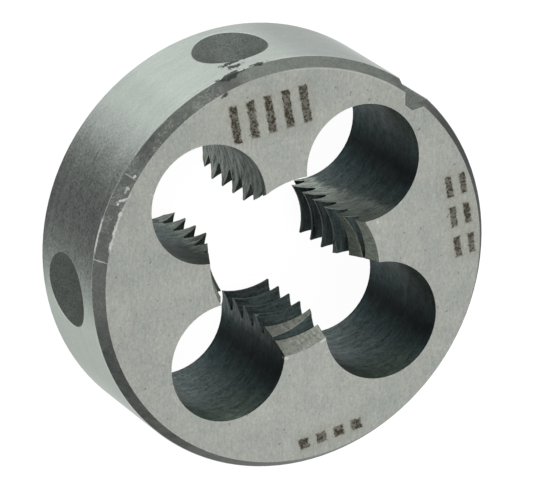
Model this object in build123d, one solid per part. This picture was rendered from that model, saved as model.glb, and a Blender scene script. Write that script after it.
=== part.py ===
from build123d import *
from math import ceil, radians, tan
import os

# Round threading die, one solid piece of ground tool steel, in millimetres.
# The thread axis is +Z and the origin is the centre of the face that the die rests on.
# The face where a rod enters first is uppermost. A chip hole and the notch are near -X.

# Disc
body_diameter = 25.0
body_thickness = 9.0
rim_chamfer_radial = 0.55
rim_chamfer_axial = 0.85

# Thread that the die cuts: metric coarse, right-handed
thread_diameter = 10.0
thread_pitch = 1.5
thread_flank_angle = 60.0
crest_flat = 0.19
root_flat = 0.19
# Height of a groove's middle over +X, which sets where the teeth fall on each land
thread_start = 1.36

# Chip holes, drilled right through: how far they break in past the crests, and the wall that
# they leave to the rim. Together these place the holes and size them
chip_hole_count = 4
chip_hole_break_in = 0.655
chip_hole_wall = 1.925
# The pattern of holes sits this much off the thread axis, so no two lands are quite alike
chip_pattern_x = -0.2
chip_pattern_y = -0.12

# Lead at the upper mouth: a cone that tapers the first teeth. Its mouth is a little wider than
# the thread, and it is set off to one side of each land, so that it clears behind the cutting edge
lead_mouth_margin = 0.3
lead_half_angle = 21.0
lead_relief = 0.9

# Shorter lead at the lower mouth, for the last turns up to a shoulder
short_lead_depth = 0.57
short_lead_half_angle = 45.0
short_lead_relief = 0.2

# Notch along the rim, where an adjustable die would be slit
notch_direction = 178.4
notch_depth = 1.17
notch_floor = 0.62
notch_angle = 77.0

# Conical pits in the rim for the screws of a die stock, two on each side of the notch
pit_diameter = 5.2
pit_point_angle = 120.0
pit_angle_near_notch = 49.1
pit_angle_far_from_notch = 134.9
pit_below_middle = 0.25

# Metal that the pilot hole leaves inside the crests for the thread tool
pilot_allowance = 0.2
# Turns of the thread tool past each face
spare_turns = 2
# How far any other tool runs past the face that it breaks through
overrun = 1.0

body_radius = body_diameter / 2
root_radius = thread_diameter / 2
flank_slope = tan(radians(thread_flank_angle / 2))
crest_radius = root_radius - (thread_pitch - crest_flat - root_flat) / (2 * flank_slope)
pilot_radius = crest_radius - pilot_allowance
chip_hole_nearest = crest_radius - chip_hole_break_in
chip_hole_farthest = body_radius - chip_hole_wall
chip_hole_radius = (chip_hole_farthest - chip_hole_nearest) / 2
chip_circle_radius = (chip_hole_farthest + chip_hole_nearest) / 2
land_step = 360.0 / chip_hole_count


def disc_blank():
    """Turned disc with its two chamfered rims: half a section, turned about the axis."""
    section = Polyline(
        (0, 0),
        (body_radius - rim_chamfer_radial, 0),
        (body_radius, rim_chamfer_axial),
        (body_radius, body_thickness - rim_chamfer_axial),
        (body_radius - rim_chamfer_radial, body_thickness),
        (0, body_thickness),
        close=True,
    )
    return revolve(Plane.XZ * make_face(section), Axis.Z)


def through_hole(radius):
    """Round hole along the axis, through both faces."""
    return Pos(0, 0, body_thickness / 2) * Cylinder(radius, body_thickness + 2 * overrun)


def thread_comb(start_angle):
    """Section of all the grooves at one angle, closed along a line inside the pilot hole."""
    lift = thread_pitch * start_angle / 360
    lowest = (thread_start + lift) % thread_pitch - spare_turns * thread_pitch
    groove_count = ceil(body_thickness / thread_pitch) + 2 * spare_turns
    mouth_half = (thread_pitch - crest_flat) / 2
    root_half = root_flat / 2
    points = []
    for turn in range(groove_count):
        middle = lowest + turn * thread_pitch
        points.append((crest_radius, middle - mouth_half))
        points.append((root_radius, middle - root_half))
        points.append((root_radius, middle + root_half))
        points.append((crest_radius, middle + mouth_half))
    closing_radius = pilot_radius - pilot_allowance
    points.append((closing_radius, points[-1][1]))
    points.append((closing_radius, points[0][1]))
    return Plane.XZ * make_face(Polyline(*points, close=True))


def land_thread(index):
    """Thread grooves of one land: the comb section, swept along its share of the helix."""
    # The sweep starts and ends in the middle of a chip hole, where there is nothing to cut
    start_angle = index * land_step
    helix = Helix(thread_pitch, thread_pitch * land_step / 360, crest_radius)
    return Rot(0, 0, start_angle) * sweep(thread_comb(start_angle), path=helix, is_frenet=True)


def land_lead(index, mouth_radius, half_angle, relief):
    """Lead of one land at the upper face: a cone set off to one side, kept to its own sector."""
    slope = tan(radians(half_angle))
    height = mouth_radius / slope + overrun
    cone = Cone(0, height * slope, height)
    standing = Pos(0, 0, body_thickness + overrun - height / 2) * cone
    start_angle = index * land_step
    toward_relief = start_angle + land_step / 2 - 90
    backed_off = Rot(0, 0, toward_relief) * Pos(relief, 0, 0) * standing
    sector = Cylinder(
        body_radius, 2 * height, arc_size=land_step, align=(Align.NONE, Align.NONE, Align.CENTER)
    )
    return backed_off & (Rot(0, 0, start_angle) * Pos(0, 0, body_thickness) * sector)


def notch():
    """Groove along the rim with sloping sides and a narrow flat floor."""
    floor_radius = body_radius - notch_depth
    outer_radius = body_radius + overrun
    floor_half = notch_floor / 2
    outer_half = floor_half + (outer_radius - floor_radius) * tan(radians(notch_angle / 2))
    outline = Polyline(
        (floor_radius, -floor_half),
        (outer_radius, -outer_half),
        (outer_radius, outer_half),
        (floor_radius, floor_half),
        close=True,
    )
    groove = extrude(make_face(outline), body_thickness + 2 * overrun)
    return Rot(0, 0, notch_direction) * Pos(0, 0, -overrun) * groove


def screw_pit(angle_from_notch):
    """Cone sunk into the rim, pointing at the axis."""
    slope = tan(radians(pit_point_angle / 2))
    height = pit_diameter / 2 / slope + overrun
    cone = Rot(0, 90, 0) * Cone(0, height * slope, height)
    place = Pos(body_radius + overrun - height / 2, 0, body_thickness / 2 - pit_below_middle)
    return Rot(0, 0, notch_direction + angle_from_notch) * place * cone


def threading_die():
    """The whole die: blank, pilot and chip holes, then thread, leads, notch and pits."""
    die = disc_blank() - through_hole(pilot_radius)
    pattern_centre = Pos(chip_pattern_x, chip_pattern_y, 0)
    for place in PolarLocations(chip_circle_radius, chip_hole_count):
        die -= pattern_centre * place * through_hole(chip_hole_radius)
    turned_over = Pos(0, 0, body_thickness) * Rot(180, 0, 0)
    lead_radius = root_radius + lead_mouth_margin
    short_lead_radius = crest_radius + short_lead_depth
    for index in range(chip_hole_count):
        die -= land_thread(index)
        die -= land_lead(index, lead_radius, lead_half_angle, lead_relief)
        short_lead = land_lead(index, short_lead_radius, short_lead_half_angle, short_lead_relief)
        die -= turned_over * short_lead
    die -= notch()
    for angle in (pit_angle_near_notch, pit_angle_far_from_notch):
        die -= screw_pit(angle)
        die -= screw_pit(-angle)
    return die


os.makedirs("parts", exist_ok=True)
die = threading_die()
export_step(die, "parts/threading_die.step")
box = die.bounding_box().size
print("threading_die:", len(die.solids()), "solid of", round(die.volume, 1), "cubic mm, valid:", die.is_valid)
print("size:", round(box.X, 3), "x", round(box.Y, 3), "x", round(box.Z, 3), "mm")
print("chip holes: diameter", round(2 * chip_hole_radius, 3), "on a circle of", round(2 * chip_circle_radius, 3))
print("crests: diameter", round(2 * crest_radius, 3))
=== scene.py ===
# %% [markdown]
# # A round threading die
# A threading die cuts an outside thread on a rod. It is a thick disc of tool steel: four drilled
# holes break into a threaded one, and the four lands left between them carry the cutting teeth.
# The shape comes ready made from the packed model. This lesson stands it in a small studio and
# gives the steel its finishes: ground surfaces, dark hardened ones, worn edges and etched marks.
# Reflection, shade and highlights are also painted into some of these colours.

# %% The packed model
from math import cos, pi, radians, sin

import bpy
from mathutils import Matrix, Vector


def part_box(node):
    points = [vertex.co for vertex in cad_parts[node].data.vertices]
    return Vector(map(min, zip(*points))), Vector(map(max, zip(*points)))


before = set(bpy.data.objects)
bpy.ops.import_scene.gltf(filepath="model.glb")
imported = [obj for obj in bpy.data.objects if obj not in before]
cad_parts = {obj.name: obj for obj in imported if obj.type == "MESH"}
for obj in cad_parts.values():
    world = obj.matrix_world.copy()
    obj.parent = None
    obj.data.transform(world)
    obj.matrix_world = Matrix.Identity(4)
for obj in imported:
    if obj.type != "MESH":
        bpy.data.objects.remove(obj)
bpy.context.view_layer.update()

mm_per_metre = 1000.0

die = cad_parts["threading_die"]
die_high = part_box("threading_die")[1]
print("the die has", len(die.data.polygons), "triangles")
print("it is", round(die_high.z * mm_per_metre, 2), "mm thick")

# %% [markdown]
# ## The camera
# The die lies flat, and the picture was taken from above with the camera rolled to one side. A long
# lens from far off keeps the two rims nearly parallel. The camera's three directions are worked out
# from an azimuth, an elevation and a roll, which are easier to read than a matrix.

# %% Camera
view_azimuth = radians(-0.7438)
view_elevation = radians(59.5829)
view_roll = radians(124.7522)
view_distance = 0.336378
view_aim = Vector((-0.000025, -0.002238, 0.009))
lens_length = 390.82
sensor_width = 36.0
nearest_seen = 0.01

toward_camera = Vector((
    sin(view_azimuth) * cos(view_elevation),
    -cos(view_azimuth) * cos(view_elevation),
    sin(view_elevation),
))
level_right = Vector((0, 0, 1)).cross(toward_camera).normalized()
level_up = toward_camera.cross(level_right)
picture_right = level_right * cos(view_roll) + level_up * sin(view_roll)
picture_up = level_up * cos(view_roll) - level_right * sin(view_roll)

camera_data = bpy.data.cameras.new("camera")
camera_data.lens = lens_length
camera_data.sensor_width = sensor_width
camera_data.sensor_fit = "HORIZONTAL"
camera_data.clip_start = nearest_seen
camera = bpy.data.objects.new("camera", camera_data)
turn = Matrix((picture_right, picture_up, toward_camera)).transposed()
camera.matrix_world = Matrix.Translation(view_aim + toward_camera * view_distance) @ turn.to_4x4()
bpy.context.scene.collection.objects.link(camera)
bpy.context.scene.camera = camera
bpy.context.scene.view_settings.view_transform = "Standard"
print("camera at", [round(n * mm_per_metre, 1) for n in camera.matrix_world.translation], "mm")

# %% [markdown]
# ## A way to write shader maths
# A material is a graph of nodes. Wiring each sum by hand is slow to write and hard to read, so a
# small class wraps one output socket and overloads the operators: `1 - mask * 0.5` then adds its
# own Math nodes. Every other node comes from one method that takes its type, settings and inputs.

# %% Bench and Wire
class Bench:
    """The node tree of one material or world, and the one way to add nodes to it."""

    def __init__(self, owner):
        owner.use_nodes = True
        self.tree = owner.node_tree
        self.tree.nodes.clear()

    def node(self, kind, settings=None, inputs=None):
        """One node: its settings come first, then the values or links of its sockets."""
        made = self.tree.nodes.new(kind)
        for name, value in (settings or {}).items():
            setattr(made, name, value)
        for name, value in (inputs or {}).items():
            if isinstance(value, Wire):
                self.tree.links.new(value.socket, made.inputs[name])
            else:
                made.inputs[name].default_value = value
        return made

    def wire(self, kind, settings=None, inputs=None, output=0):
        """A node as above, handed back as a wire from one of its outputs."""
        return Wire(self, self.node(kind, settings, inputs).outputs[output])

    def maths(self, operation, *values):
        """One Math node on wires or plain numbers."""
        return self.wire("ShaderNodeMath", {"operation": operation}, dict(enumerate(values)))


class Wire:
    """An output socket that can be added, multiplied and raised like a number."""

    def __init__(self, bench, socket):
        self.bench = bench
        self.socket = socket

    def __add__(self, other):
        return self.bench.maths("ADD", self, other)

    def __sub__(self, other):
        return self.bench.maths("SUBTRACT", self, other)

    def __rsub__(self, other):
        return self.bench.maths("SUBTRACT", other, self)

    def __mul__(self, other):
        return self.bench.maths("MULTIPLY", self, other)

    def __truediv__(self, other):
        return self.bench.maths("DIVIDE", self, other)

    def __pow__(self, other):
        return self.bench.maths("POWER", self, other)

    def __abs__(self):
        return self.bench.maths("ABSOLUTE", self)

    __radd__ = __add__
    __rmul__ = __mul__


print("a number may come first in", [name for name in vars(Wire) if name.startswith("__r")])

# %% [markdown]
# ## The studio
# The background of the picture is pure white. The floor keeps a plain pale colour and its shadow,
# and it glows only for rays that come straight from the camera or by way of the polished metal.
# Light Path tells those rays apart, so the glow never lights the die.

# %% Floor
plain_paint = 0.8
direct_paint = 0.14
direct_glow = 0.95
floor_size = 3.0
floor_gap = 0.00002


def seen_directly(bench):
    """1 for rays from the camera, also by way of metal or glass, and 0 for light that scatters."""
    rays = bench.node("ShaderNodeLightPath")
    found = Wire(bench, rays.outputs["Is Camera Ray"])
    for name in ("Is Glossy Ray", "Is Transmission Ray"):
        found = bench.maths("MAXIMUM", found, Wire(bench, rays.outputs[name]))
    return found


def grey_paint(bench, level):
    """A plain matt paint of this brightness."""
    return bench.wire("ShaderNodeBsdfDiffuse", inputs={"Color": (level, level, level, 1)})


floor_material = bpy.data.materials.new("pale_floor")
floor_bench = Bench(floor_material)
pale = grey_paint(floor_bench, plain_paint)
faint = grey_paint(floor_bench, direct_paint)
glow = floor_bench.wire("ShaderNodeEmission", inputs={"Strength": direct_glow})
shown = floor_bench.wire("ShaderNodeAddShader", inputs={0: faint, 1: glow})
direct = seen_directly(floor_bench)
floor_mix = floor_bench.wire("ShaderNodeMixShader", inputs={0: direct, 1: pale, 2: shown})
floor_bench.node("ShaderNodeOutputMaterial", inputs={"Surface": floor_mix})

half = floor_size / 2
floor_corners = [(-half, -half), (half, -half), (half, half), (-half, half)]
floor_mesh = bpy.data.meshes.new("floor")
floor_mesh.from_pydata([(*corner, -floor_gap) for corner in floor_corners], [], [(0, 1, 2, 3)])
floor_mesh.materials.append(floor_material)
floor = bpy.data.objects.new("floor", floor_mesh)
bpy.context.scene.collection.objects.link(floor)
print("floor", floor_size, "m across")

# %% [markdown]
# ## The room
# The world is an even white room. The camera sees it at a strength of exactly 1, which is white,
# and everything else gets a little more than that.

# %% World
world_level = 1.08

world = bpy.data.worlds.new("studio")
world_bench = Bench(world)
from_camera = world_bench.wire("ShaderNodeLightPath", output="Is Camera Ray")
strength = world_level - from_camera * (world_level - 1)
sky = world_bench.wire("ShaderNodeBackground", inputs={"Strength": strength})
world_bench.node("ShaderNodeOutputWorld", inputs={"Surface": sky})
bpy.context.scene.world = world
print("world strength", world_level)

# %% [markdown]
# ## Two soft lamps
# Most of the light is even, as in a light tent. Two large square lamps add a little direction, so
# that the tooth flanks, pits and chamfers don't all have the same grey.

# %% Lamps
def soft_lamp(name, direction, distance, width, power):
    """A square area lamp that looks back at the die along this direction."""
    data = bpy.data.lights.new(name, "AREA")
    data.shape = "SQUARE"
    data.size = width
    data.energy = power
    lamp = bpy.data.objects.new(name, data)
    away = Vector(direction).normalized()
    facing = away.to_track_quat("Z", "Y").to_matrix().to_4x4()
    lamp.matrix_world = Matrix.Translation(away * distance) @ facing
    bpy.context.scene.collection.objects.link(lamp)


soft_lamp("main_lamp", (-0.55, -0.55, 0.62), distance=0.40, width=0.26, power=0.40)
soft_lamp("far_lamp", (0.65, 0.45, 0.60), distance=0.45, width=0.30, power=0.28)

# %% [markdown]
# ## Where a point of the steel lies
# One material covers the die, so the material has to know which surface it is on. Object
# coordinates give the place in metres. In millimetres, the radius, the height and the distance to
# the nearest chip hole tell every surface apart, and the same values place each mark and scratch.
# A dot product with a direction gives the distance along it in a single node.

# %% Places on the die
steel_material = bpy.data.materials.new("tool_steel")
steel = Bench(steel_material)

die_height = 9.0
mid_height = die_height / 2
rim_radius = 12.5


def vector_maths(operation, inputs, output=0):
    """One Vector Math node."""
    return steel.wire("ShaderNodeVectorMath", {"operation": operation}, inputs, output)


def dot(place, direction):
    """Distance of a place along a direction."""
    return vector_maths("DOT_PRODUCT", {0: place, 1: tuple(direction)}, output="Value")


def outward_at(angle):
    """The direction away from the axis at this angle in degrees."""
    return Vector((cos(radians(angle)), sin(radians(angle)), 0.0))


def sideways_at(angle):
    """The direction round the axis at this angle in degrees."""
    return outward_at(angle + 90.0)


def diagonal(a, b):
    """Length of the longest side of a right-angled triangle with these two others."""
    return (a * a + b * b) ** 0.5


in_metres = steel.wire("ShaderNodeTexCoord", output="Object")
here = vector_maths("SCALE", {0: in_metres, "Scale": mm_per_metre})
parted = steel.node("ShaderNodeSeparateXYZ", inputs={0: here})
x, y, z = (Wire(steel, parted.outputs[n]) for n in range(3))
radius = diagonal(x, y)
from_face = mid_height - abs(z - mid_height)
from_top = die_height - z
print("places are worked out with", len(steel.tree.nodes), "nodes so far")

# %% [markdown]
# ## Where the chip holes are
# The four holes lie on a circle that is a little off the thread axis. Folding the die along both
# axes and then along a diagonal lays all four on top of each other, so one distance serves them
# all. The signs undo the fold where a finish has to know the direction within its hole.

# %% Chip hole places
hole_shift_x = -0.2
hole_shift_y = -0.12
hole_circle = 6.975
hole_radius = 3.6


def most(first, *others):
    """The largest of several wires."""
    for other in others:
        first = steel.maths("MAXIMUM", first, other)
    return first


def least(first, *others):
    """The smallest of several wires."""
    for other in others:
        first = steel.maths("MINIMUM", first, other)
    return first


hole_x = x - hole_shift_x
hole_y = y - hole_shift_y
size_x = abs(hole_x)
size_y = abs(hole_y)
hole_distance = diagonal(most(size_x, size_y) - hole_circle, least(size_x, size_y))
is_x_hole = steel.maths("GREATER_THAN", size_x, size_y)
is_y_hole = 1 - is_x_hole
x_sign = steel.maths("SIGN", hole_x)
y_sign = steel.maths("SIGN", hole_y)
# Place within a hole, on the die's own axes, and how far round from the hole's own middle line
in_hole_x = hole_x - x_sign * is_x_hole * hole_circle
in_hole_y = hole_y - y_sign * is_y_hole * hole_circle
round_hole = is_x_hole * hole_y * x_sign - is_y_hole * hole_x * y_sign
print("with the chip holes:", len(steel.tree.nodes), "nodes")

# %% [markdown]
# ## Noise
# Noise breaks up whatever would look machine-perfect. `cloud` gives lumps of a chosen size. For
# streaks it reads a stretched place instead, and each factor inside `joined` is then how many lumps
# there are to a millimetre that way. Two clouds are shared, so neighbouring finishes agree.

# %% Noise
noise_spread = 5


def joined(a, b, c):
    """Three wires or numbers as one vector."""
    return steel.wire("ShaderNodeCombineXYZ", inputs={0: a, 1: b, 2: c})


def cloud(size, at=here, depth=2.0, roughness=0.55):
    """Noise with a middle of 0 and lumps of this size in millimetres, mostly within -1 to 1."""
    raw = steel.wire(
        "ShaderNodeTexNoise",
        {"noise_dimensions": "3D"},
        {"Vector": at, "Scale": 1 / size, "Detail": depth, "Roughness": roughness},
    )
    return (raw - 0.5) * noise_spread


grit = cloud(0.14)
patchy = cloud(0.75, here, 3.0)
print("with the shared noise:", len(steel.tree.nodes), "nodes")

# %% [markdown]
# ## Masks
# A mask is 1 on one surface and 0 elsewhere, with a short smooth step between, because a hard edge
# would look cut out. Each compares a radius, a height or a direction with a number in millimetres
# or degrees. Those numbers are the die's own sizes, give or take some hundredths.

# %% Masks
chamfer_inner = 11.95
chamfer_height = 0.85
cuts_lie_beyond = 9.88


def fade(value, start, end):
    """0 below start, 1 above end and a smooth step between."""
    return steel.wire(
        "ShaderNodeMapRange",
        {"interpolation_type": "SMOOTHSTEP"},
        {"Value": value, "From Min": start, "From Max": end},
    )


def toward(angle):
    """Cosine of the angle round the axis between a point and this direction in degrees."""
    return dot(here, outward_at(angle)) / radius


def sector(angle, half_angle, soft):
    """1 within half_angle of a direction about the axis, fading over twice the soft angle."""
    outer = cos(radians(half_angle + soft))
    inner = cos(radians(max(half_angle - soft, 0.0)))
    return fade(toward(angle), outer, inner)


on_face = 1 - fade(from_face, 0.006, 0.016)
on_rim = fade(radius, rim_radius - 0.06, rim_radius - 0.025)
past_the_face = fade(radius, chamfer_inner - 0.05, chamfer_inner - 0.01)
by_a_face = 1 - fade(from_face, chamfer_height - 0.005, chamfer_height + 0.01)
on_chamfer = past_the_face * by_a_face * (1 - on_rim)
in_hole = 1 - fade(abs(hole_distance - hole_radius), 0.012, 0.03)
clear_of_holes = fade(hole_distance, hole_radius + 0.04, hole_radius + 0.08)
in_rim_cut = fade(radius, cuts_lie_beyond, cuts_lie_beyond + 0.07) * clear_of_holes
print("with the masks:", len(steel.tree.nodes), "nodes")

# %% [markdown]
# ## Colours and layers
# A finish is three things: a colour, a roughness and a height for the bump. Each finish below is
# worked out as if it covered the whole die, and `lay` puts one over another through a mask. Within
# a finish, the number behind each noise or mask is how strongly it shows.

# %% Tones and layers
def tone(red, green, blue):
    """A colour as it looks on a screen, 0 to 255, turned into the linear values of a shader."""
    def linear(n):
        n = n / 255
        return n / 12.92 if n <= 0.04045 else ((n + 0.055) / 1.055) ** 2.4
    return (linear(red), linear(green), linear(blue), 1.0)


def mixed(mask, under, over):
    """The colour under, or over where the mask is 1."""
    # The colours of a Mix node are its inputs 6 and 7 and its output 2
    return steel.wire(
        "ShaderNodeMix",
        {"data_type": "RGBA", "clamp_factor": True},
        {0: mask, 6: under, 7: over},
        output=2,
    )


def shaded(colour, amount):
    """A colour made lighter or darker by a wire."""
    colour = colour if isinstance(colour, Wire) else colour[:3]
    return vector_maths("SCALE", {0: colour, "Scale": amount})


def lay(mask, over, under):
    """One finish over another: colours through a mix, roughness and height by arithmetic."""
    return {
        "colour": mixed(mask, under["colour"], over["colour"]),
        "rough": under["rough"] + (over["rough"] - under["rough"]) * mask,
        "height": under["height"] + (over["height"] - under["height"]) * mask,
    }


print("a mid grey of 128 is", round(tone(128, 128, 128)[0], 3), "in linear light")

# %% [markdown]
# ## Ground faces
# The two faces were ground flat after hardening, so they are pale and bright. The wheel left a
# grain in one direction. It is faint: noise stretched three or four times along the grain, with
# softer mottling, a few dark pores and a few painted bright glints over it. Painted shade makes one
# side and the outer part of the face a little darker.

# %% Ground face
grain_direction = 38.0
painted_shade_side = 305.0
grain_along = dot(here, outward_at(grain_direction))
grain_across = dot(here, sideways_at(grain_direction))


def ground_face():
    """Pale steel with one-way grain, mottling, pores, painted glints and painted shade."""
    broad = cloud(1.0, joined(grain_along * 0.5, grain_across * 2.2, z), 3.0)
    fine = cloud(1.0, joined(grain_along * 2.4, grain_across * 7.0, z), 2.0, 0.7)
    mottle = cloud(2.2, here, 3.0, 0.6)
    specks = cloud(0.26, here, 0.0)
    grain = broad * 0.04 + fine * 0.10 + mottle * 0.05 + grit * 0.09
    # Painted shade on one side of the face and towards the rim
    painted_dimming = sector(painted_shade_side, 36.0, 22.0) * 0.05 + fade(radius, 7.0, 12.0) * 0.04
    hue = mixed(fade(mottle, -0.8, 0.8), tone(169, 173, 167), tone(171, 174, 166))
    pores = fade(specks, 1.62, 1.85)
    # Painted highlight: a few small bright glints
    painted_glints = 1 - fade(specks, -1.75, -1.5)
    colour = mixed(pores * 0.5, shaded(hue, 1.03 + grain - painted_dimming), tone(92, 90, 84))
    colour = mixed(painted_glints * 0.4, colour, tone(200, 202, 194))
    return {
        "colour": colour,
        "rough": 0.42 + fine * 0.03 + mottle * 0.02,
        "height": fine * 0.8 + broad * 0.5 + grit * 0.3 - pores * 2.0,
    }


face_finish = ground_face()
print("ground face:", len(steel.tree.nodes), "nodes")

# %% [markdown]
# ## Ground rim
# The rim was ground between centres, so its grain runs round the die. It is the brightest surface,
# with one broad dark band painted in: a painted reflection of a dark corner of the room. The band
# is speckled. A few arcs of the rim are painted duller, also as reflection, and a table says where.

# %% Ground rim
# Painted reflection: where the dark band, the duller part and the far dark patch lie
dark_reflection_direction = 289.5
beside_dark_reflection = 324.0
far_dark_reflection_direction = 112.0
painted_dim_rim_arcs = [
    # direction, half angle, soft edge, share taken away
    (204.0, 8.0, 8.0, 0.20),
    (259.0, 5.0, 5.0, 0.12),
]


def darker_in(arcs):
    """1, less a share within each arc of a table."""
    level = 1
    for angle, half_angle, soft, share in arcs:
        level = level - sector(angle, half_angle, soft) * share
    return level


def ground_rim():
    """Bright cylinder, grain round it, a painted dark reflection band and a painted duller part."""
    fine = cloud(1.0, joined(x * 1.1, y * 1.1, z * 10.0), 2.0, 0.7)
    broad = cloud(1.0, joined(x * 0.2, y * 0.2, z * 2.0), 3.0)
    # Painted reflection of a dark corner of the room
    dark_reflection = fade(toward(dark_reflection_direction) + patchy * 0.005 + broad * 0.008, 0.855, 1.024)
    painted_dimming = sector(beside_dark_reflection, 20.0, 8.0)
    far_dark_reflection = sector(far_dark_reflection_direction, 9.0, 12.0)
    colour = mixed(painted_dimming, tone(194, 202, 196), tone(181, 190, 182))
    colour = mixed(far_dark_reflection * 0.5, colour, tone(120, 124, 120))
    colour = mixed(dark_reflection, colour, tone(75, 78, 76))
    speckle = grit * (0.06 + dark_reflection * 0.36)
    shade = darker_in(painted_dim_rim_arcs) + fine * 0.07 + broad * 0.035 + speckle
    return {
        "colour": shaded(colour, shade),
        "rough": 0.38 + fine * 0.03 + dark_reflection * 0.08,
        "height": fine * 0.9 + broad * 0.5,
    }


rim_finish = ground_rim()
print("ground rim:", len(steel.tree.nodes), "nodes")

# %% [markdown]
# ## Chamfers
# Nobody ground the chamfers, the notch or the screw pits again after the furnace, so they keep a
# grey skin. On the chamfer it is rubbed through in pale veins, most of all along the worn side.
# A vein lies where noise crosses zero. The skin is painted lighter on two opposite sides, which is
# what the cosine of twice the angle gives, evened out on one more side and darker in a few arcs:
# all painted reflection.

# %% Chamfer
# Painted reflection: lighter sides, an evener side and darker arcs
painted_lighter_side = 45.0
painted_evener_side = 294.0
worn_side = 266.0
painted_dark_chamfer_arcs = [
    # direction, half angle, soft edge, share taken away
    (0.0, 34.0, 16.0, 0.34),
    (143.0, 24.0, 12.0, 0.50),
    (240.0, 5.0, 4.0, 0.38),
    (259.0, 9.0, 5.0, 0.30),
    (1.0, 4.0, 3.0, 0.14),
]


def hardened_chamfer():
    """Grey skin with painted reflection by direction, rubbed through in veins and patches."""
    cosine = toward(painted_lighter_side)
    cosine_of_twice = cosine * cosine * 2 - 1
    painted_lighter = fade(cosine_of_twice + patchy * 0.3, -1.3, 1.0)
    colour = mixed(painted_lighter, tone(80, 84, 81), tone(122, 126, 121))
    colour = mixed(sector(painted_evener_side, 24.0, 10.0) * 0.6, colour, tone(108, 111, 107))
    shade = (1 + grit * 0.14 + patchy * 0.07) * darker_in(painted_dark_chamfer_arcs)
    rubbed = cloud(0.55, here, 4.0, 0.7)
    veins = (1 - fade(abs(rubbed), 0.0, 0.12)) * fade(patchy, -0.7, 0.2)
    patches = fade(rubbed, 0.7, 1.2) * 0.6
    scuff = most(veins, patches) * (sector(worn_side, 26.0, 6.0) * 0.75 + 0.25)
    return {
        "colour": mixed(scuff * 0.6, shaded(colour, shade), tone(160, 164, 159)),
        "rough": 0.50 + patchy * 0.04 - scuff * 0.06,
        "height": patchy + grit * 0.5 + scuff,
    }


chamfer_finish = hardened_chamfer()
print("chamfer:", len(steel.tree.nodes), "nodes")

# %% [markdown]
# ## Notch and screw pits
# The same skin is coarser where a pointed tool cut it, so a finer speckle goes over the shared
# grit. The notch is a little paler than the pits, and the pit in the painted dark reflection of the
# rim carries painted shade.

# %% Notch and pits
notch_direction = 178.4
# Painted shade on the pit inside the dark reflection band
painted_dark_pit_direction = 312.0


def hardened_cut():
    """Dark skin of the notch and the screw pits, with a fine speckle."""
    fine_grit = cloud(0.09, here, 1.0)
    colour = mixed(sector(notch_direction, 7.0, 1.0), tone(110, 116, 112), tone(120, 125, 120))
    colour = mixed(sector(painted_dark_pit_direction, 20.0, 5.0), colour, tone(88, 93, 89))
    return {
        "colour": shaded(colour, 1 + fine_grit * 0.26 + grit * 0.16 + patchy * 0.08),
        "rough": 0.62 + grit * 0.04,
        "height": grit * 0.8 + fine_grit * 0.4,
    }


cut_finish = hardened_cut()
print("notch and pits:", len(steel.tree.nodes), "nodes")

# %% [markdown]
# ## Scratches in the chip holes
# The tools that made the holes left fine streaks that run round each hole, and some deeper scores.
# Noise stretched round the hole gives the streaks. A score is a line where a smoother noise crosses
# zero, and the honing stone left strokes that slant across both.

# %% Scratches in the chip holes
wavy_z = z + patchy * 0.10
slanting_z = z + in_hole_x * 0.8
wall_clouds = cloud(0.42, here, 3.0, 0.7)
wall_streaks = cloud(1.0, joined(in_hole_x * 0.6, in_hole_y * 0.6, wavy_z * 3.4), 4.0, 0.7)
wall_lines = cloud(1.0, joined(in_hole_x * 0.45, in_hole_y * 0.45, wavy_z * 2.6), 1.0, 0.6)
wall_strokes = cloud(1.0, joined(in_hole_x * 0.8, in_hole_y * 0.8, slanting_z * 5.0), 2.0, 0.7)
wall_scores = 1 - fade(abs(wall_lines), 0.08, 0.5)
print("scratches in the chip holes:", len(steel.tree.nodes), "nodes")

# %% [markdown]
# ## Dark walls
# A smooth hollow shows its surroundings, and that reflection is painted into the colour here: each
# wall is nearly black on one side and paler all the way round to the other. Half of one less the
# cosine of the angle from the dark side rises like that, and a power bends the rise. The steel is
# bluer in its shade and greener near the top. The level by depth is painted reflection as well, and
# the top of the wall behind each land carries painted shade.

# %% Dark wall
# Painted reflection: the side of each wall that is darkest
painted_dark_side = radians(107.0)
level_at_darkest = 0.0060
level_rise = 0.246
rise_power = 0.67
just_over_one = 1.0001          # keeps the sum above 0, where it can be raised to a power
hue_in_shade = (0.66, 1.09, 1.13, 1.0)
hue_in_light = (0.81, 1.05, 1.04, 1.0)
hue_near_top = (0.82, 1.12, 0.94, 1.0)
shaded_back = 298.0
back_side = fade(round_hole, 0.2, 1.2)


def dark_wall_painted_reflection():
    """Colour of a drilled wall: painted reflection by direction and depth, times its scratches."""
    toward_dark = (in_hole_x * cos(painted_dark_side) + in_hole_y * sin(painted_dark_side)) / hole_radius
    risen = ((just_over_one - toward_dark) / 2) ** rise_power
    hue = mixed(fade(z, 4.0, 8.0), hue_in_light, hue_near_top)
    hue = mixed(fade(risen, 0.03, 0.28), hue_in_shade, hue)
    near_top = 1 - fade(from_top, 0.3, 2.2)
    near_floor = fade(from_top, 6.5, 8.6)
    painted_depth_level = 0.85 + fade(from_top, 0.0, 7.0) * 0.28 + near_top * 0.42 + near_floor * 0.28
    scratched = 1 + wall_streaks * 0.30 - wall_scores * 0.20 + grit * 0.28 + wall_clouds * 0.30
    # Painted shade at the top of the wall behind each land
    painted_shade_behind_land = sector(shaded_back, 18.0, 6.0) * back_side * (1 - fade(from_top, 2.0, 6.5))
    level = (level_at_darkest + risen * level_rise) * painted_depth_level * scratched
    return shaded(hue, level * (1 - painted_shade_behind_land * 0.57))


dark_wall_painted_reflection_colour = dark_wall_painted_reflection()
print("dark walls:", len(steel.tree.nodes), "nodes")

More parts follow.
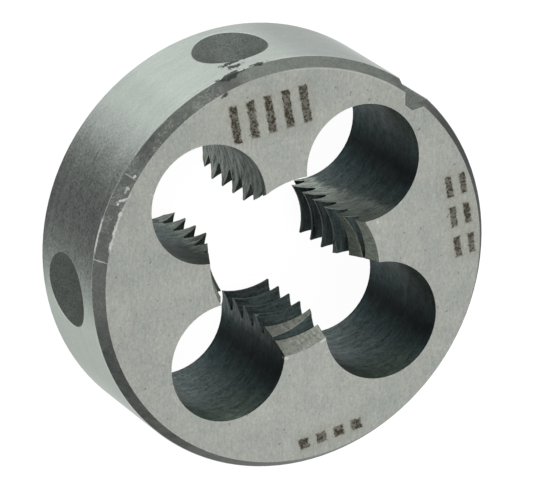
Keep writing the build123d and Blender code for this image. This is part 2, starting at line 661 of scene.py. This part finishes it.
# %% [markdown]
# ## Honed strips
# The walls beside the teeth are the cutting faces. On the side that cuts, a stone has honed them
# pale, and it stopped raggedly against the dark wall, so noise moves the edge of the strip. The
# back of each land has a narrower and fainter strip. On the right land the strip gets narrower
# towards the bottom, and brighter.

# %% Honed strips
right_direction = 150.0
brighter_backs = 315.0
cutting_side = 1 - fade(round_hole, -1.2, -0.2)
right_land = fade(toward(right_direction), 0.3, 0.8)


def honed_reach():
    """1 on the honed strips, ragged where they end."""
    ragged = radius + wall_streaks * 0.45
    narrower = (from_top * 0.16 + 0.35) * right_land
    front = cutting_side * (1 - fade(ragged + narrower, 6.9, 7.45))
    back_strength = 0.3 + sector(brighter_backs, 44.0, 2.0) * 0.52
    back = back_side * (1 - fade(ragged, 5.0, 5.6)) * back_strength
    return front + back


def honed_colour():
    """Pale brushed steel, brighter towards the bottom of each hole, with painted shade high at the
    back.
    """
    low_down = fade(from_top, 4.0, 8.5)
    by_teeth = 1 - fade(radius, 5.1, 5.8)
    # Painted shade high on the back of each hole
    painted_shade_high_at_back = back_side * (1 - fade(from_top, 1.0, 4.0))
    level = 1.02 - right_land * 0.20 + low_down * (0.2 + right_land * 0.65)
    level = (level + by_teeth * right_land * 0.25) * (1 - painted_shade_high_at_back * 0.42)
    scored = wall_scores * (0.50 - right_land * 0.22)
    brushed = 1.06 + wall_streaks * 0.30 + wall_strokes * 0.26 - scored + grit * 0.22
    return shaded(tone(122, 130, 123), brushed * level)


honed = honed_reach()
wall_finish = {
    "colour": mixed(honed, dark_wall_painted_reflection_colour, honed_colour()),
    "rough": 0.46 + patchy * 0.04,
    "height": wall_streaks * 1.4 - wall_scores * honed * 1.2 + grit * 0.5,
}
print("chip hole walls:", len(steel.tree.nodes), "nodes")

# %% [markdown]
# ## Teeth
# The thread is a helix, so the height of a tooth depends on the angle round the axis. Height over
# pitch, less the share of a turn, counts the turns. Folding that count back and forth gives 0 at a
# root and one half at a crest, which paints a highlight on the crests and shade in the roots on
# every land at once, and the teeth on one side are painted paler, as lit. The same count takes the
# place of the height in the noise, so that the streaks follow the helix.

# %% Teeth
thread_pitch = 1.5
thread_start = 1.36
# Painted light: the side of the die whose teeth are paler
lit_side = 270.0
share_of_turn = steel.maths("ARCTAN2", y, x) / (2 * pi)
turns = (z - thread_start) / thread_pitch - share_of_turn
from_root = steel.maths("PINGPONG", turns, 0.5)


def tooth_flanks():
    """Dark flanks streaked along the helix, with painted crest highlights and root shade."""
    streaks = cloud(1.0, joined(radius * 4.0, turns * 6.0, share_of_turn * 12.0), 3.0, 0.7)
    # Painted highlight on the crests and painted shade in the roots
    crest = fade(from_root, 0.41, 0.45)
    root_shade = 1 - fade(from_root, 0.05, 0.12)
    crest_highlight = 0.10 + fade(patchy, -0.4, 0.8) * 0.25
    lit_teeth = fade(toward(lit_side), 0.1, 0.5)
    colour = mixed(lit_teeth, tone(48, 56, 55), tone(70, 77, 74))
    colour = mixed(root_shade * 0.5, colour, tone(27, 33, 34))
    colour = mixed(crest * crest_highlight, colour, tone(88, 94, 92))
    return {
        "colour": shaded(colour, 1 + streaks * 0.62 + grit * 0.32 + patchy * 0.16),
        "rough": 0.44 + patchy * 0.05,
        "height": streaks * 1.6 + grit * 0.6,
    }


tooth_finish = tooth_flanks()
print("teeth:", len(steel.tree.nodes), "nodes")

# %% [markdown]
# ## Leads
# At the upper mouth the first teeth are ground away to a cone, which leads the rod in. It was
# ground last and is paler than the teeth, most of all on the land in front. Each land has a cone
# of its own, set off to one side. A point is on it where its distance from the axis of that cone
# fits its height.

# %% Leads
crest_radius = 4.03
lead_shift = 0.6364
lead_mouth = 5.3
lead_slope = 0.3839
front_direction = 45.0
scratched_direction = 30.5

lead_x = x - y_sign * lead_shift
lead_y = y + x_sign * lead_shift
off_cone = abs(diagonal(lead_x, lead_y) - lead_mouth + from_top * lead_slope)
past_crests = fade(radius, crest_radius + 0.01, crest_radius + 0.04)
on_lead = (1 - fade(off_cone, 0.007, 0.017)) * past_crests


def ground_lead():
    """Ground cone, pale on the land in front, darker on the others and down the teeth."""
    brushed = cloud(1.0, joined(lead_x * 2.0, lead_y * 2.0, z * 9.0), 2.0)
    across = cloud(1.0, joined(lead_x * 7.0, lead_y * 7.0, z * 0.8), 2.0)
    front = sector(front_direction, 40.0, 3.0)
    colour = mixed(front, tone(155, 162, 151), tone(184, 188, 178))
    scratched = sector(scratched_direction, 7.0, 4.0) * fade(across, -0.3, 0.7)
    down_the_teeth = fade(from_top, 0.9, 1.7) * (0.44 - front * 0.16)
    shade = 1 + brushed * 0.14 + across * 0.28 + grit * 0.12 - scratched * 0.45
    return {
        "colour": shaded(colour, shade * (1 - down_the_teeth)),
        "rough": 0.60 + brushed * 0.03,
        "height": brushed * 0.8 + across * 0.8,
    }


thread_finish = lay(on_lead, ground_lead(), tooth_finish)
print("teeth and leads:", len(steel.tree.nodes), "nodes")

# %% [markdown]
# ## Etched marks
# A die is etched with what it cuts. These marks are plain bars, strokes and dots that say nothing.
# The acid bit unevenly, so noise roughens the outline of each mark and leaves pale spots inside.
# One bar makes a whole row: the place along the row is wrapped, so the same bar comes round again.

# %% Etched marks
mark_rows = [
    # count, step, direction, radius, half width, half height
    (5, 1.12, 227.6, 9.6, 0.25, 1.15),
    (3, 1.9, 137.3, 11.25, 0.62, 0.20),
    (3, 1.9, 137.3, 10.35, 0.62, 0.20),
    (4, 1.15, 50.1, 10.9, 0.32, 0.32),
]


def row_of(count, step, angle, at_radius, half_wide, half_tall):
    """Distance outside a row of equal bars, negative inside."""
    sideways = dot(here, sideways_at(angle))
    shift = 0.0 if count % 2 else step / 2
    folded = steel.maths("WRAP", sideways + shift, step / 2, -step / 2)
    over_wide = abs(folded) - half_wide
    over_tall = abs(dot(here, outward_at(angle)) - at_radius) - half_tall
    beyond_row = abs(sideways) - (count - 1) * step / 2 - half_wide
    return most(over_wide, over_tall, beyond_row)


etch_wander = cloud(0.24, here, 3.0, 0.75)
from_mark = least(*[row_of(*row) for row in mark_rows])
bitten = 1 - fade(from_mark + etch_wander * 0.06, -0.06, 0.07)
pale_spots = 1 - fade(grit * 0.8 - etch_wander, -0.5, 0.5)
upper_half = fade(z, mid_height - 1, mid_height + 1)
upper_face = on_face * upper_half * fade(hole_distance, hole_radius + 0.1, hole_radius + 0.3)
marks = bitten * (1 - pale_spots * 0.38) * upper_face
stain = (1 - fade(from_mark + etch_wander * 0.2, -0.1, 0.7)) * upper_face
print("etched marks:", len(steel.tree.nodes), "nodes")

# %% [markdown]
# ## Spots of wear
# A used tool has its own history. Its small marks are ragged ellipses. A direction divided by the
# half size of the spot that way makes each dot product 1 at the edge, and the diagonal of the two
# is 0 in the middle and 1 all round. Noise on top of that makes the edge ragged.

# %% Spots of wear
side_spot_edge = (0.72, 1.05)
face_spot_edge = (0.6, 1.1)
face_spot_raggedness = 0.6
upward = Vector((0.0, 0.0, 1.0))

ragged_edge = cloud(0.40, here, 4.0, 0.75)
off_the_face = fade(radius, chamfer_inner - 0.1, chamfer_inner)
near_the_face = fade(z, die_height - 0.6, die_height - 0.3)


def spread_from(centre, one_way, other_way):
    """0 in the middle of a spot and 1 at its edge."""
    offset = vector_maths("SUBTRACT", {0: here, 1: tuple(centre)})
    return diagonal(dot(offset, one_way), dot(offset, other_way))


def side_spot(angle, at_height, half_wide, half_tall, raggedness, lean, strength):
    """A ragged patch on the rim or chamfer, turned by its lean in degrees."""
    sideways = sideways_at(angle)
    lean_cos, lean_sin = cos(radians(lean)), sin(radians(lean))
    width_way = (sideways * lean_cos + upward * lean_sin) / half_wide
    height_way = (upward * lean_cos - sideways * lean_sin) / half_tall
    spread = spread_from(upward * at_height, width_way, height_way) + ragged_edge * raggedness
    this_side = steel.maths("GREATER_THAN", dot(here, outward_at(angle)), 0.0)
    return (1 - fade(spread, *side_spot_edge)) * this_side * strength


def face_spot(angle, at_radius, half_wide, half_long, strength):
    """A ragged spot on the upper face."""
    outward = outward_at(angle)
    width_way = sideways_at(angle) / half_wide
    spread = spread_from(outward * at_radius, width_way, outward / half_long)
    spread = spread + ragged_edge * face_spot_raggedness
    return (1 - fade(spread, *face_spot_edge)) * strength


def spots_of(side_table, face_table):
    """All the spots of two tables as one mask."""
    on_side = most(*[side_spot(*row) for row in side_table]) * off_the_face
    on_top = most(*[face_spot(*row) for row in face_table]) * near_the_face
    return most(on_side, on_top)


print("one noise roughens every spot:", len(steel.tree.nodes), "nodes")

# %% [markdown]
# ## Flakes
# Beside the upper pit some of the ground surface has flaked off and shows the dark skin below it.
# Two fainter spots lie further along the rim.

# %% Flakes
side_flakes = [
    # direction, height, half width, half height, raggedness, lean, strength
    (231.6, 6.70, 0.85, 0.27, 1.0, 0.0, 1.0),
    (232.3, 7.40, 0.42, 0.28, 1.0, 0.0, 1.0),
    (235.4, 8.22, 0.82, 0.21, 1.0, 0.0, 1.0),
    (227.2, 8.16, 0.62, 0.14, 0.6, 0.0, 1.0),
    (275.2, 4.31, 0.34, 0.07, 0.6, 0.0, 0.5),
    (276.1, 7.70, 0.10, 0.30, 0.8, 0.0, 0.4),
]
face_flakes = [
    # direction, radius, half width, half length, strength
    (239.8, 11.84, 0.30, 0.13, 1.0),
]
flakes = spots_of(side_flakes, face_flakes)
print("flakes:", len(steel.tree.nodes), "nodes")

# %% [markdown]
# ## Knocks
# Along the worn side the edge of the chamfer has been knocked bright in small spots, and so have
# three places at the mouth of the thread.

# %% Knocks
side_knocks = [
    # direction, height, half width, half height, raggedness, lean, strength
    (273.9, 8.80, 0.12, 0.08, 0.6, 0.0, 0.9),
    (274.6, 8.55, 0.05, 0.34, 0.6, 0.0, 0.45),
    (277.6, 8.76, 0.10, 0.14, 0.9, 0.0, 0.7),
    (278.6, 8.75, 0.26, 0.05, 0.9, 0.0, 0.5),
    (281.3, 8.78, 0.42, 0.07, 0.7, -44.0, 1.0),
    (282.6, 8.66, 0.16, 0.08, 0.8, 0.0, 1.0),
    (284.6, 8.96, 0.15, 0.10, 0.6, 0.0, 1.0),
    (294.6, 8.96, 0.26, 0.10, 0.8, 0.0, 1.0),
    (299.2, 8.58, 0.05, 0.50, 0.5, 0.0, 0.65),
]
face_knocks = [
    # direction, radius, half width, half length, strength
    (32.6, 5.58, 0.16, 0.10, 1.0),
    (58.6, 5.12, 0.20, 0.07, 1.0),
    (148.9, 5.66, 0.12, 0.06, 1.0),
    (279.2, 11.88, 0.30, 0.06, 0.5),
]
knocks = spots_of(side_knocks, face_knocks)
print("knocks:", len(steel.tree.nodes), "nodes")

# %% [markdown]
# ## Bright edges
# A sharp edge is where bare metal shows first and where light catches, so these lines are part wear
# and part painted highlight. Each glint follows the distance to its edge in millimetres. Both edges
# of the chamfer are worn along one side, and elsewhere they carry a painted highlight where the
# noise is high. The edges of the chip holes and of the notch carry a painted highlight on the faces
# only.

# %% Bright edges
notch_floor = 11.33
notch_half_floor = 0.31
notch_side_slope = 0.796


def near(distance, full, none):
    """1 up to one distance in millimetres from an edge and 0 beyond another."""
    return 1 - fade(distance, full, none)


outer_edge = diagonal(radius - rim_radius, z - (die_height - chamfer_height))
inner_edge = diagonal(radius - chamfer_inner, z - die_height)
hole_edge = abs(hole_distance - hole_radius - 0.03)
above_floor = dot(here, outward_at(notch_direction)) - notch_floor
from_middle = abs(dot(here, sideways_at(notch_direction)))
beyond_side = from_middle - notch_half_floor - above_floor * notch_side_slope
notch_edge = abs(most(beyond_side, 0 - above_floor))

# Worn metal and painted edge highlights, with the knocks
wear_and_edge_highlights = most(
    knocks,
    near(outer_edge + ragged_edge * 0.06, 0.03, 0.11) * sector(292.6, 4.6, 1.2),
    near(outer_edge + ragged_edge * 0.05, 0.0, 0.06) * sector(291.0, 14.0, 5.0) * 0.5,
    near(inner_edge + ragged_edge * 0.12, 0.01, 0.11) * sector(289.4, 5.8, 1.2),
    near(outer_edge, 0.01, 0.05) * fade(ragged_edge, 0.3, 1.0) * 0.3,
    near(inner_edge, 0.01, 0.06) * fade(ragged_edge, 0.2, 0.9) * 0.5,
    near(inner_edge, 0.03, 0.10) * sector(203.0, 18.0, 5.0) * 0.4,
    near(hole_edge, 0.02, 0.07) * fade(ragged_edge, 0.3, 0.9) * on_face * 0.8,
    near(notch_edge, 0.0, 0.06) * fade(radius, 11.1, 11.2) * on_face * 0.55,
)
print("bright edges:", len(steel.tree.nodes), "nodes")

# %% [markdown]
# ## The finished steel
# The layers go on in the order in which the die was made: threaded and drilled first, then the
# cuts in the rim, the chamfers, the ground rim and the ground faces, and last the marks, the wear
# and the painted edge highlights. Heights are in microns, and the Bump node turns them into light
# and shade.

# %% Finished steel
one_micron = 0.000001
edge_tint = (0.65, 0.65, 0.65, 1.0)

finish = lay(in_hole, wall_finish, thread_finish)
finish = lay(in_rim_cut, cut_finish, finish)
finish = lay(on_chamfer, chamfer_finish, finish)
finish = lay(on_rim, rim_finish, finish)
finish = lay(on_face, face_finish, finish)

colour = mixed(stain * 0.16, finish["colour"], tone(136, 126, 100))
colour = mixed(marks, colour, tone(70, 65, 54))
colour = mixed(flakes * 0.9, colour, tone(60, 64, 61))
# Worn edges, knocks and painted edge highlights go on last
colour = mixed(wear_and_edge_highlights * 0.85, colour, tone(206, 210, 204))
rough = finish["rough"] + marks * 0.15 + flakes * 0.10 - wear_and_edge_highlights * 0.05
height = finish["height"] - marks * 5.0 - flakes * 6.0 + wear_and_edge_highlights * 2.0

bumped = steel.wire(
    "ShaderNodeBump", inputs={"Strength": 1.0, "Distance": one_micron, "Height": height}
)
shader = steel.wire("ShaderNodeBsdfPrincipled", inputs={
    "Base Color": colour,
    "Roughness": rough,
    "Metallic": 1.0,
    "Specular Tint": edge_tint,
    "Normal": bumped,
})
steel.node("ShaderNodeOutputMaterial", inputs={"Surface": shader})
for place in die.material_slots:
    place.material = steel_material
print("finished steel:", len(steel.tree.nodes), "nodes on", len(die.material_slots), "slot")

# %% [markdown]


# %% [markdown]
